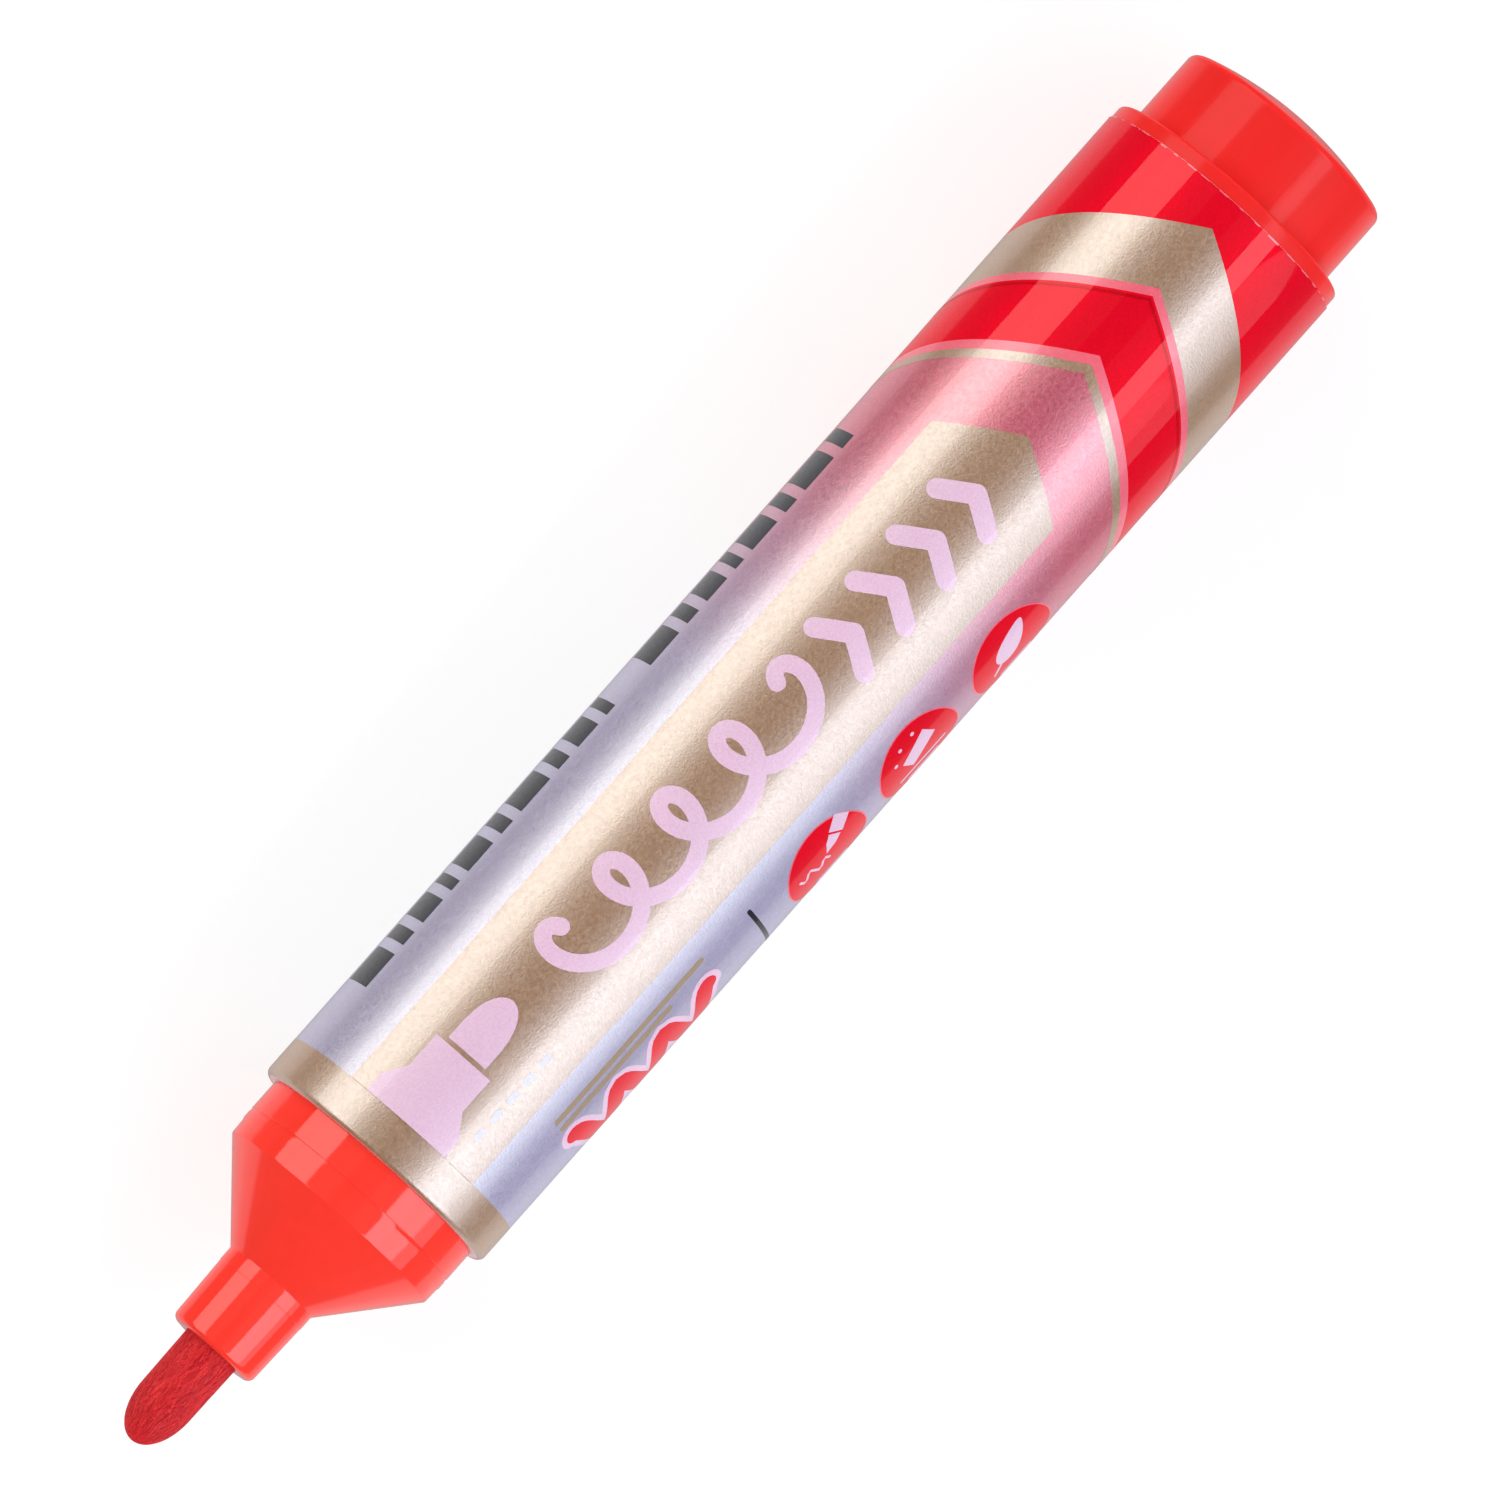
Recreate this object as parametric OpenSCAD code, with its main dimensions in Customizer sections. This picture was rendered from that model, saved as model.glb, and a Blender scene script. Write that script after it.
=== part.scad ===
// Whiteboard marker, uncapped, lying along X with its nib towards -X.
// The origin is on the marker's axis, in the plane of the barrel's front face,
// which is where the rim of a cap stops. The middle of the printed label faces +Z.

/* [Barrel and label] */
// Length of the barrel tube
barrel_l = 88; // [84:0.5:110]
// Outside diameter of the barrel's front end, over the label film
barrel_front_d = 19.7; // [19.4:0.05:19.8]
// Outside diameter of the barrel's rear end, over the label film
barrel_rear_d = 20; // [19.9:0.05:20.4]
// Bore of the barrel
barrel_bore_d = 16.8; // [16.6:0.1:17]
// Radius of the barrel's front edge
barrel_edge_r = 0.45; // [0.3:0.05:0.6]
// Thickness of the printed label film
film_t = 0.08; // [0.05:0.01:0.12]

/* [Nozzle] */
// Diameter of the seat that a cap's skirt slides on to
seat_d = 17.8; // [17.6:0.05:18]
// Length of the cap seat, from the cone to the barrel's front face
seat_l = 4.6; // [4.2:0.1:6]
// Length of the cone between the collar and the cap seat
cone_l = 6; // [5.5:0.1:7]
// Length of the collar that holds the nib
collar_l = 6.2; // [5:0.1:8]
// Diameter of the collar at its front edge
collar_front_d = 7.05; // [6.9:0.05:7.15]
// Diameter of the collar where the cone begins
collar_rear_d = 7.34; // [7.3:0.02:7.6]

/* [Nib] */
// Diameter of the nib's shaft
nib_d = 4.4; // [4.2:0.05:4.5]
// How far the nib stands out of the collar
nib_reach = 8.2; // [6:0.1:10]
// Length of the nib's rounded end
nib_tip_l = 3.6; // [3:0.1:5]
// Diameter of the nib where its rounded end begins
nib_tip_d = 4.28; // [4:0.02:4.3]

/* [Rear plug] */
// Diameter of the flange behind the barrel
flange_d = 19.75; // [19.5:0.05:19.85]
// Thickness of the flange
flange_l = 1.15; // [1:0.05:2]
// Diameter of the post that a cap is parked on
post_d = 17.2; // [17:0.05:17.4]
// Length of the post, from the flange to its rim
post_l = 6.1; // [5:0.05:8]
// Height of the post's domed end
dome_h = 1.25; // [0.8:0.05:2]

/* [Ink reservoir] */
// Outside diameter of the wrapped reservoir
reservoir_d = 15.8; // [15:0.1:15.8]
// Thickness of the film wrapped round the reservoir's fibre
wrap_t = 0.1; // [0.08:0.01:0.2]

/* [Fits] */
// Radial clearance of a piece that pulls out
fit_gap = 0.03; // [0.02:0.01:0.05]

/* [Hidden] */

// Sides of a full circle, and steps of a rounded edge
round_fn = 128;
arc_steps = 8;

// Wall of the nozzle, of the plug and of their spigots
wall = 1.2;
// Overlap that lets two shapes of one piece merge
merge = 0.3;

// Stations along X
seat_x = -seat_l;
cone_x = seat_x - cone_l;
collar_x = cone_x - collar_l;
nib_x = collar_x - nib_reach;
flange_x = barrel_l;
post_x = flange_x + flange_l;
rim_x = post_x + post_l;

// Barrel, under its film, and the ribs in its bore
front_r = barrel_front_d / 2 - film_t;
rear_r = barrel_rear_d / 2 - film_t;
bore_r = barrel_bore_d / 2;
film_turn_in = 6;
film_end_gap = 0.1;
rib_n = 6;
rib_t = 0.8;
rib_clear = 0.05;
rib_margin = 2.5;

// Spigots of the nozzle and the plug: their lengths, the lead-in at the end, how far the
// plain part stays under the bore, and the crush ribs that grip
spigot_r = bore_r - fit_gap;
spigot_l = 10;
plug_spigot_l = 8;
plug_end_x = barrel_l - plug_spigot_l;
spigot_lead = 0.5;
spigot_relief = 0.12;
relief_r = spigot_r - spigot_relief;
crush_rib_n = 8;
crush_rib_t = 1;
crush_rib_end = 1;

// Collar of the nozzle, with a low ring before the cone
collar_front_r = collar_front_d / 2;
collar_rear_r = collar_rear_d / 2;
collar_edge_r = 0.55;
ring_l = 1.1;
ring_step = 0.03;

// Cap seat: a front land, a low bead that the cap clicks over, and the land behind it
seat_r = seat_d / 2;
land_l = 1.1;
land_dip = 0.04;
bead_l = 1;
bead_flank_l = bead_l / 4;
bead_x = seat_x + land_l;
bead_end_x = bead_x + bead_l;

// Inside of the nozzle: the tube that guides the nib, its air channels and its gussets
nib_bore_r = nib_d / 2 + fit_gap;
guide_wall = 1.05;
guide_r = nib_bore_r + guide_wall;
guide_end_x = -1.5;
cavity_r = spigot_r - wall;
cone_slope = (seat_r - collar_rear_r) / cone_l;
cone_wall_l = wall * sqrt(1 + 1 / pow(cone_slope, 2));
vent_n = 6;
vent_r = 0.3;
gusset_n = 4;
gusset_t = 1;

// Ribs in the plug, which stand a little out of its spigot and stop the reservoir
stop_n = 4;
stop_t = 1;
stop_l = 0.6;

// Ink reservoir
reservoir_gap = 0.2;
reservoir_x = spigot_l + reservoir_gap;
reservoir_r = reservoir_d / 2;
core_r = reservoir_r - wrap_t;
reservoir_end_x = plug_end_x - stop_l - reservoir_gap;

// Nib
nib_entry = 4;
nib_end_x = reservoir_x + nib_entry;
nib_chamfer = 0.4;
nib_tip_steps = arc_steps + 2;
pocket_gap = 0.05;
pocket_end_gap = 0.5;
pocket_l = nib_entry + pocket_end_gap;

// Rear plug
flange_r = flange_d / 2;
flange_edge_r = 0.3;
post_r = post_d / 2;
rim_edge_r = 0.6;
post_cavity_r = post_r - wall;
// The rim's edge runs smoothly into the dome: both arcs have the same slope where they meet
rim_arc_r = post_r - rim_edge_r;
dome_rise = dome_h + rim_edge_r;
dome_r = (pow(rim_arc_r, 2) + pow(dome_rise, 2) - pow(rim_edge_r, 2)) / (2 * dome_h);
dome_angle = atan2(dome_r - dome_rise, rim_arc_r);

// Points of an arc: centre, radius, first and last angle
function arc(c, r, a0, a1) =
    [for (i = [0 : arc_steps]) let (a = a0 + (a1 - a0) * i / arc_steps) c + r * [cos(a), sin(a)]];

// The last n + 1 points of a list
function last(p, n) = [for (i = [len(p) - 1 - n : len(p) - 1]) p[i]];

// Points of the barrel's rounded front edge, from its face to its side, grown outwards by t
function front_edge(t) =
    arc([front_r - barrel_edge_r, barrel_edge_r], barrel_edge_r + t, -90, 0);

// Radius of the barrel's side under its film, at a place along X
function side_r(x) =
    front_r + (rear_r - front_r) * (x - barrel_edge_r) / (barrel_l - barrel_edge_r);

// Reverses a list of points
function reversed(p) = [for (i = [len(p) - 1 : -1 : 0]) p[i]];

// Turns an outline of [radius, x] points about the X axis
module turned(outline) {
    rotate([0, 90, 0])
        rotate_extrude($fn = round_fn)
            polygon(outline);
}

// Repeats a shape n times about the X axis
module around(n) {
    for (i = [0 : n - 1])
        rotate([360 * i / n, 0, 0])
            children();
}

// A straight rib along X, from radius r0 to r1
module rib(x0, x1, r0, r1, t) {
    translate([x0, -t / 2, r0])
        cube([x1 - x0, t, r1 - r0]);
}

// A round bar on the X axis
module bar(x0, x1, r) {
    translate([x0, 0, 0])
        rotate([0, 90, 0])
            cylinder(h = x1 - x0, r = r, $fn = round_fn);
}

// Barrel tube, with ribs inside that keep the reservoir in the middle
module barrel() {
    color("whitesmoke") {
        turned(concat([[bore_r, 0]], front_edge(0), [[rear_r, barrel_l], [bore_r, barrel_l]]));
        around(rib_n)
            rib(spigot_l + rib_margin, plug_end_x - rib_margin,
                reservoir_r + rib_clear, bore_r + merge, rib_t);
    }
}

// Printed foil film round the barrel, turned in over its front edge
module label_film() {
    film_x1 = barrel_l - film_end_gap;
    color("silver")
        turned(concat(
            last(front_edge(film_t), film_turn_in),
            [[side_r(film_x1) + film_t, film_x1], [side_r(film_x1), film_x1]],
            reversed(last(front_edge(0), film_turn_in))));
}

// Film sleeve that holds the reservoir's fibre together
module reservoir_wrap() {
    color("lightpink")
        turned([
            [core_r, reservoir_x],
            [reservoir_r, reservoir_x],
            [reservoir_r, reservoir_end_x],
            [core_r, reservoir_end_x]]);
}

// Fibre core that holds the ink, with the pocket that the nib presses into it
module reservoir_core() {
    color("firebrick")
        difference() {
            bar(reservoir_x, reservoir_end_x, core_r);
            bar(reservoir_x - merge, reservoir_x + pocket_l, nib_d / 2 + pocket_gap);
        }
}

// Ribs round a spigot, which grip the barrel's bore
module crush_ribs(x0, x1) {
    intersection() {
        around(crush_rib_n)
            rib(x0, x1, relief_r - merge, spigot_r + merge, crush_rib_t);
        bar(x0 - merge, x1 + merge, spigot_r);
    }
}

// Place along X where the inside of the cone's wall has a radius r
function cone_inside_x(r) = cone_x + (r - collar_rear_r) / cone_slope + cone_wall_l;

// Gusset between the nozzle's wall and the tube that guides the nib
module gusset() {
    rotate([90, 0, 0])
        translate([0, 0, -gusset_t / 2])
            linear_extrude(gusset_t)
                polygon([
                    [cone_inside_x(guide_r) - cone_wall_l / 2, guide_r - merge],
                    [cone_inside_x(cavity_r) - cone_wall_l / 2, cavity_r],
                    [cone_inside_x(cavity_r), cavity_r + merge],
                    [guide_end_x, cavity_r + merge],
                    [guide_end_x, guide_r - merge]]);
}

// Outline of the nozzle: collar, cone, cap seat, spigot, and the hollow behind the cone
function nozzle_outline() = concat(
    [[nib_bore_r, collar_x]],
    arc([collar_front_r - collar_edge_r, collar_x + collar_edge_r], collar_edge_r, -90, 0),
    [
        [collar_rear_r - ring_step, cone_x - ring_l],
        [collar_rear_r, cone_x - ring_l + ring_step],
        [collar_rear_r, cone_x],
        [seat_r - land_dip - ring_step, seat_x],
        [seat_r - land_dip, bead_x],
        [seat_r, bead_x + bead_flank_l],
        [seat_r, bead_end_x - bead_flank_l],
        [seat_r - land_dip, bead_end_x],
        [seat_r, bead_end_x + land_dip],
        [seat_r, 0],
        [relief_r, 0],
        [relief_r, spigot_l - spigot_lead],
        [relief_r - spigot_lead, spigot_l],
        [cavity_r, spigot_l],
        [cavity_r, cone_inside_x(cavity_r)],
        [guide_r, cone_inside_x(guide_r)],
        [guide_r, guide_end_x],
        [nib_bore_r, guide_end_x]
    ]);

// Front section that holds the nib and closes the barrel
module nozzle() {
    color("red")
        difference() {
            union() {
                turned(nozzle_outline());
                crush_ribs(crush_rib_end, spigot_l - spigot_lead - crush_rib_end);
                around(gusset_n)
                    gusset();
            }
            around(vent_n)
                translate([0, 0, nib_bore_r])
                    bar(collar_x + collar_edge_r, guide_end_x + merge, vent_r);
        }
}

// Fibre nib with a bullet-shaped end, which reaches into the reservoir
module nib() {
    color("crimson")
        turned(concat(
            [[0, nib_x]],
            [for (i = [1 : nib_tip_steps]) let (a = 90 * i / nib_tip_steps)
                [nib_tip_d / 2 * sin(a), nib_x + nib_tip_l * (1 - cos(a))]],
            [
                [nib_d / 2, collar_x],
                [nib_d / 2, nib_end_x - nib_chamfer],
                [nib_d / 2 - nib_chamfer, nib_end_x],
                [0, nib_end_x]
            ]));
}

// Outline of the rear plug: spigot, flange, post and dome, and the hollow inside
function plug_outline() = concat(
    [
        [cavity_r, plug_end_x],
        [relief_r - spigot_lead, plug_end_x],
        [relief_r, plug_end_x + spigot_lead],
        [relief_r, flange_x],
        [flange_r, flange_x]
    ],
    arc([flange_r - flange_edge_r, post_x - flange_edge_r], flange_edge_r, 0, 90),
    [[post_r, post_x]],
    arc([rim_arc_r, rim_x - rim_edge_r], rim_edge_r, 0, dome_angle),
    last(arc([0, rim_x + dome_h - dome_r], dome_r, dome_angle, 90), arc_steps - 1),
    [
        [0, rim_x + dome_h - wall],
        [post_cavity_r, rim_x - wall],
        [cavity_r, flange_x]
    ]);

// Rear plug that closes the barrel and stops the reservoir
module rear_plug() {
    color("red") {
        turned(plug_outline());
        crush_ribs(plug_end_x + spigot_lead + crush_rib_end, barrel_l - crush_rib_end);
        around(stop_n)
            rib(plug_end_x - stop_l, rim_x, 0, cavity_r + merge, stop_t);
    }
}

barrel();
label_film();
reservoir_wrap();
reservoir_core();
nozzle();
nib();
rear_plug();
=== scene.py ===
"""Looks of the whiteboard marker: its mouldings, nib, printed film, lights, floor and camera.

Lengths are in millimetres until a mesh is made. X runs along the marker from the nib to the plug.
An angle round the axis is 0 at the middle of the label, on top, and grows towards -Y.
The label is drawn flat: a point is (x, s), and s is the way round the film from its middle.
"""
import math

import bpy
import numpy as np
from mathutils import Matrix, Vector
from mathutils.geometry import delaunay_2d_cdt


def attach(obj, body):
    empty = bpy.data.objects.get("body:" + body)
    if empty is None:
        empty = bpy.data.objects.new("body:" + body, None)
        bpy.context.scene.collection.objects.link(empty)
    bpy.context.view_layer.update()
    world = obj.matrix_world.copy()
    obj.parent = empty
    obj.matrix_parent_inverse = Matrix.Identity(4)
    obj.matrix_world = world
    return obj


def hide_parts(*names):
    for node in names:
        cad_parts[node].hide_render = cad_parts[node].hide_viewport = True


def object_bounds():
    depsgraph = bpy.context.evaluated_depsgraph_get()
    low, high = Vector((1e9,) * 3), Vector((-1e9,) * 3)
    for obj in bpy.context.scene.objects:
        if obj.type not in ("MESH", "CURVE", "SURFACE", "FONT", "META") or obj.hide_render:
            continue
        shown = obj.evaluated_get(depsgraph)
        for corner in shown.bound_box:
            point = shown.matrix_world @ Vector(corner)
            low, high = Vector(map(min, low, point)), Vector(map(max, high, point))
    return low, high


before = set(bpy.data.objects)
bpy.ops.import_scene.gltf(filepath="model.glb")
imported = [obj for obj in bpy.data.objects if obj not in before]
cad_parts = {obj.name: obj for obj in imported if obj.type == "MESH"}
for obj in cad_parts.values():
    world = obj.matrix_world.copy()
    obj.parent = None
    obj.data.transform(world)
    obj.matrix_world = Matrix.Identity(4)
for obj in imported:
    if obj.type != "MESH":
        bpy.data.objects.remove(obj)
cad_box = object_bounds()

MM = 0.001
FULL_TURN = 2 * math.pi

# Stations along X
NIB_X = -25.0
COLLAR_X = -16.8
CONE_X = -10.6
SEAT_X = -4.6
BARREL_END_X = 88.0
POST_X = 89.15
RIM_X = 95.25
DOME_X = 96.5
SPIGOT_L = 10.0
GUIDE_END_X = -1.5
PLUG_FRONT_X = 80.0
NIB_END_X = 14.2

# Radii
NIB_R = 2.2
NIB_TIP_R = 2.14
NIB_BORE_R = 2.23
GUIDE_R = 3.28
COLLAR_FRONT_R = 3.525
COLLAR_REAR_R = 3.67
SEAT_R = 8.9
SPIGOT_R = 8.37
SPIGOT_RELIEF = 0.12
CAVITY_R = 7.17
FLANGE_R = 9.875
FLANGE_EDGE_R = 0.3
POST_R = 8.6
POST_CAVITY_R = 7.4
WALL = 1.2

# Air channels in the nib's bore
VENTS = 6
VENT_R = 0.3
VENT_FRONT_X = COLLAR_X + 0.6

# Ribs, and the points that a rounded corner is made of
RIB_T = 1.0
RIB_OVERLAP = 0.3
CORNER_STEPS = 4

# Barrel under its film, and the film
EDGE_R = 0.45
SIDE_FRONT_R = 9.77
SIDE_REAR_R = 9.92
FILM_END_X = 87.98
BASE_T = 0.05
INK_T = 0.01

# Label drawn flat
LABEL_R = 9.93
LABEL_HALF = math.pi * LABEL_R
LABEL_SEAM_GAP = 0.02
LABEL_STEPS = 240
FRONT_RING_X = 3.0
CHEVRON_SLOPE = 0.58
RED_FIELD_X = 85.6
DISC_X = (36.4, 45.9, 55.5)
DISC_S = 11.64
DISC_R = 3.8

# Colours of the softboxes, and the brightness of the light behind the plug
WARM = (1.0, 0.97, 0.905)
COOL = (0.945, 0.98, 1.05)
REAR_RADIANCE = 10.6103

# Brightness of the surroundings, from straight down at 0 to straight up at 1
WORLD_LEVELS = (
    (0.0, 0.45), (0.03, 0.6), (0.1, 0.75), (0.258, 0.70),
    (0.285, 0.16), (0.36, 0.09), (0.6, 0.03),
)


# ---------------------------------------------------------------- meshes

def arc(cx, cr, radius, start, end, steps):
    """Points (x, r) of an arc about (cx, cr), from one angle to another in degrees; 0 points outwards."""
    points = []
    for i in range(steps + 1):
        angle = math.radians(start + (end - start) * i / steps)
        points.append((cx + radius * math.sin(angle), cr + radius * math.cos(angle)))
    return points


def softened(outline, radius, steps=CORNER_STEPS):
    """Rounds the sharp corners of a closed outline of (x, r) points, as a mould leaves them.

    Each of them becomes steps + 1 points.
    """
    result = []
    for i, here in enumerate(outline):
        b = np.array(here)
        before = np.array(outline[i - 1]) - b
        after = np.array(outline[(i + 1) % len(outline)]) - b
        reach = min(radius, 0.4 * np.linalg.norm(before), 0.4 * np.linalg.norm(after))
        u = before / np.linalg.norm(before)
        v = after / np.linalg.norm(after)
        if here[1] == 0 or u @ v < math.cos(math.radians(160)):
            result.append(here)
            continue
        for k in range(steps + 1):
            t = k / steps
            result.append(tuple(b + reach * ((1 - t) ** 2 * u + t ** 2 * v)))
    return result


def make_object(name, verts, faces, normals, material):
    """An object from points in millimetres, with a normal for each face corner, or None for smooth ones."""
    mesh = bpy.data.meshes.new(name)
    mesh.from_pydata(np.asarray(verts) * MM, [], faces)
    mesh.update()
    mesh.polygons.foreach_set("use_smooth", np.ones(len(faces), bool))
    if normals is not None:
        mesh.normals_split_custom_set(normals)
    obj = bpy.data.objects.new(name, mesh)
    bpy.context.scene.collection.objects.link(obj)
    mesh.materials.append(material)
    return obj


def unit(vectors):
    """The same vectors with length 1."""
    length = np.linalg.norm(vectors, axis=-1, keepdims=True)
    return vectors / np.maximum(length, 1e-12)


def round_points(x, r, angles):
    """Points about the X axis, from x, radius and angle arrays of one shape."""
    return np.stack([x + 0 * r, -r * np.sin(angles), r * np.cos(angles)], axis=-1)


def turned(outline, segments=240, extra_angles=(), shape=None):
    """Turns a closed outline of (x, r) points about X. The outside runs towards +X in it.

    shape(x, r, angles) may change the radii round the axis.
    Returns points, faces and the normal at each face corner.
    """
    angles = np.linspace(0, FULL_TURN, segments, endpoint=False)
    # rounded, so that no two of them are almost the same
    angles = np.mod(np.concatenate([angles, extra_angles]), FULL_TURN).round(9)
    angles = np.unique(angles[angles < round(FULL_TURN, 9)])
    x, r = (np.array(v, float)[:, None] for v in zip(*outline))
    poles = r[:, 0] < 1e-9
    grid_r = r + 0 * angles
    if shape is not None:
        grid_r = shape(x, grid_r, angles)
    points = round_points(x, grid_r, angles)
    n, m = len(outline), len(angles)
    following = (np.arange(n) + 1) % n
    along = points[following] - points
    middle = (points[following] + points) / 2
    around = np.roll(middle, -1, axis=1) - np.roll(middle, 1, axis=1)
    flat = unit(np.cross(around, along))
    length = np.linalg.norm(along, axis=-1, keepdims=True)
    blend = unit(flat * length + np.roll(flat * length, 1, axis=0))
    agree = (flat * np.roll(flat, 1, axis=0)).sum(-1, keepdims=True) > math.cos(math.radians(32))
    start_normal = np.where(agree, blend, flat)
    agree_next = np.roll(agree, -1, axis=0)
    end_normal = np.where(agree_next, np.roll(blend, -1, axis=0), flat)
    ids = np.arange(n * m).reshape(n, m)
    faces, normals = [], []
    for i in range(n):
        k = following[i]
        if poles[i] and poles[k]:
            continue
        pole_normal = unit(flat[i].mean(axis=0))
        for j in range(m):
            q = (j + 1) % m
            if poles[i]:
                corners = [(i, 0), (k, q), (k, j)]
                sides = [pole_normal, end_normal[i, q], end_normal[i, j]]
            elif poles[k]:
                corners = [(i, j), (i, q), (k, 0)]
                sides = [start_normal[i, j], start_normal[i, q], pole_normal]
            else:
                corners = [(i, j), (i, q), (k, q), (k, j)]
                sides = [start_normal[i, j], start_normal[i, q], end_normal[i, q], end_normal[i, j]]
            faces.append([ids[c] for c in corners])
            normals.extend(sides)
    verts = points.reshape(-1, 3)
    used = np.unique(np.concatenate([np.array(f) for f in faces]))
    renumber = np.zeros(len(verts), int)
    renumber[used] = np.arange(len(used))
    return verts[used], [[int(renumber[v]) for v in f] for f in faces], np.array(normals)


def face_normal(corners):
    """Unit normal of a flat face, whose corners run anticlockwise round it."""
    spokes = corners[1:] - corners[0]
    return unit(np.cross(spokes[:-1], spokes[1:]).sum(axis=0))


def prism(flat_outline, thickness, angle):
    """A closed plate in the plane through the axis at an angle. Its outline is (x, r) points."""
    n = len(flat_outline)
    radial = np.array([0, -math.sin(angle), math.cos(angle)])
    side = np.array([0, -math.cos(angle), -math.sin(angle)])
    middle = np.array([[x, 0, 0] + r * radial for x, r in flat_outline])
    verts = np.concatenate([middle - side * thickness / 2, middle + side * thickness / 2])
    faces = [list(range(n)), list(range(2 * n - 1, n - 1, -1))]
    faces += [[i, i + n, (i + 1) % n + n, (i + 1) % n] for i in range(n)]
    if face_normal(verts[faces[0]]) @ side > 0:
        faces = [face[::-1] for face in faces]
    normals = [face_normal(verts[face]) for face in faces for _ in face]
    return verts, faces, np.array(normals)


def joined(parts):
    """One set of points, faces and normals from several."""
    verts, faces, normals, offset = [], [], [], 0
    for v, f, n in parts:
        verts.append(v)
        faces.extend([[i + offset for i in face] for face in f])
        normals.append(n)
        offset += len(v)
    return np.concatenate(verts), faces, np.concatenate(normals)


# ---------------------------------------------------------------- materials

class Nodes:
    """A material whose nodes are added one call at a time."""

    def __init__(self, name):
        self.material = bpy.data.materials.new(name)
        self.material.use_nodes = True
        self.tree = self.material.node_tree
        self.shader = self.tree.nodes["Principled BSDF"]
        self.place = self.add("ShaderNodeTexCoord").outputs["Object"]

    def add(self, kind, **settings):
        node = self.tree.nodes.new(kind)
        for key, value in settings.items():
            setattr(node, key, value)
        return node

    def link(self, source, target):
        self.tree.links.new(source, target)

    def set(self, **values):
        for key, value in values.items():
            self.shader.inputs[key.replace("_", " ")].default_value = value

    def noise(self, size_mm, detail=2.0, stretch=(1, 1, 1)):
        """Noise with cells of a size in millimetres, stretched along each axis."""
        scaled = self.add("ShaderNodeMapping")
        scaled.inputs["Scale"].default_value = [1 / s for s in stretch]
        self.link(self.place, scaled.inputs["Vector"])
        node = self.add("ShaderNodeTexNoise")
        node.inputs["Scale"].default_value = 1 / (size_mm * MM)
        node.inputs["Detail"].default_value = detail
        self.link(scaled.outputs["Vector"], node.inputs["Vector"])
        return node.outputs["Fac"]

    def ranged(self, value, low, high, start=0.3, end=0.7):
        """Spreads a value that lies between start and end over low to high."""
        node = self.add("ShaderNodeMapRange")
        self.link(value, node.inputs["Value"])
        node.inputs["From Min"].default_value = start
        node.inputs["From Max"].default_value = end
        node.inputs["To Min"].default_value = low
        node.inputs["To Max"].default_value = high
        return node.outputs["Result"]

    def mixed(self, factor, a, b):
        """A colour between a and b. Each value is plain, or comes from another node's output."""
        node = self.add("ShaderNodeMix", data_type="RGBA")
        for socket, value in ((node.inputs[0], factor), (node.inputs[6], a), (node.inputs[7], b)):
            if isinstance(value, bpy.types.NodeSocket):
                self.link(value, socket)
            elif isinstance(value, tuple):
                socket.default_value = (*value, 1)
            else:
                socket.default_value = value
        return node.outputs[2]

    def bump(self, height, height_um, normal=None):
        """A normal from a height, where 1 stands for so many micrometres, on top of another normal."""
        node = self.add("ShaderNodeBump")
        node.inputs["Strength"].default_value = 1.0
        node.inputs["Distance"].default_value = height_um * 1e-6
        self.link(height, node.inputs["Height"])
        if normal is not None:
            self.link(normal, node.inputs["Normal"])
        return node.outputs["Normal"]

    def finish(self, colour=None, roughness=None, normal=None):
        """Links the last nodes to the shader. Returns the material."""
        for source, name in ((colour, "Base Color"), (roughness, "Roughness"), (normal, "Normal")):
            if source is not None:
                self.link(source, self.shader.inputs[name])
        return self.material


def shade(colour, factor):
    """A colour made lighter or darker."""
    return tuple(min(1.0, c * factor) for c in colour)


def under_gloss(name, ior, metallic=0.0, gloss=0.5, sheen=(0.86, 0.93, 1.0)):
    """A material under the label's clear glossy layer, with the cool sheen of a satin foil."""
    m = Nodes(name)
    m.set(IOR=ior, Metallic=metallic, Specular_IOR_Level=gloss)
    m.set(Coat_Weight=0.68, Coat_Roughness=0.02, Coat_IOR=1.5)
    m.shader.inputs["Specular Tint"].default_value = (*sheen, 1)
    return m


def satin_print(m, clean, darker, roughness, grain_um, sparkle):
    """Patches, fine sparkling flakes and satin grain, which print and foil share."""
    patches = m.ranged(m.noise(6.0, 3), 0, 1)
    colour = m.mixed(patches, darker, clean)
    flakes = m.ranged(m.noise(0.16, 1), -0.5, 1.5)
    colour = m.mixed(flakes, colour, m.mixed(sparkle, colour, (0, 0, 0)))
    satin = m.ranged(m.noise(0.3, 2), roughness - 0.06, roughness + 0.06)
    grain = m.bump(m.noise(0.15, 1), grain_um)
    return m.finish(colour, satin, grain)


def printed(name, colour, ior, roughness, metallic=0.0, gloss=0.5):
    """Ink printed on the label."""
    m = under_gloss(name, ior, metallic, gloss)
    return satin_print(m, shade(colour, 1.03), shade(colour, 0.97), roughness, 10.0, 0.08)


def gold_foil():
    """Satin gold, much paler where it shines than in its own colour."""
    m = under_gloss("foil_gold", 5.25, sheen=(0.93, 0.90, 0.89))
    colour = (0.44, 0.20, 0.065)
    return satin_print(m, shade(colour, 1.03), shade(colour, 0.97), 0.40, 13.0, 0.24)


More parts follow.
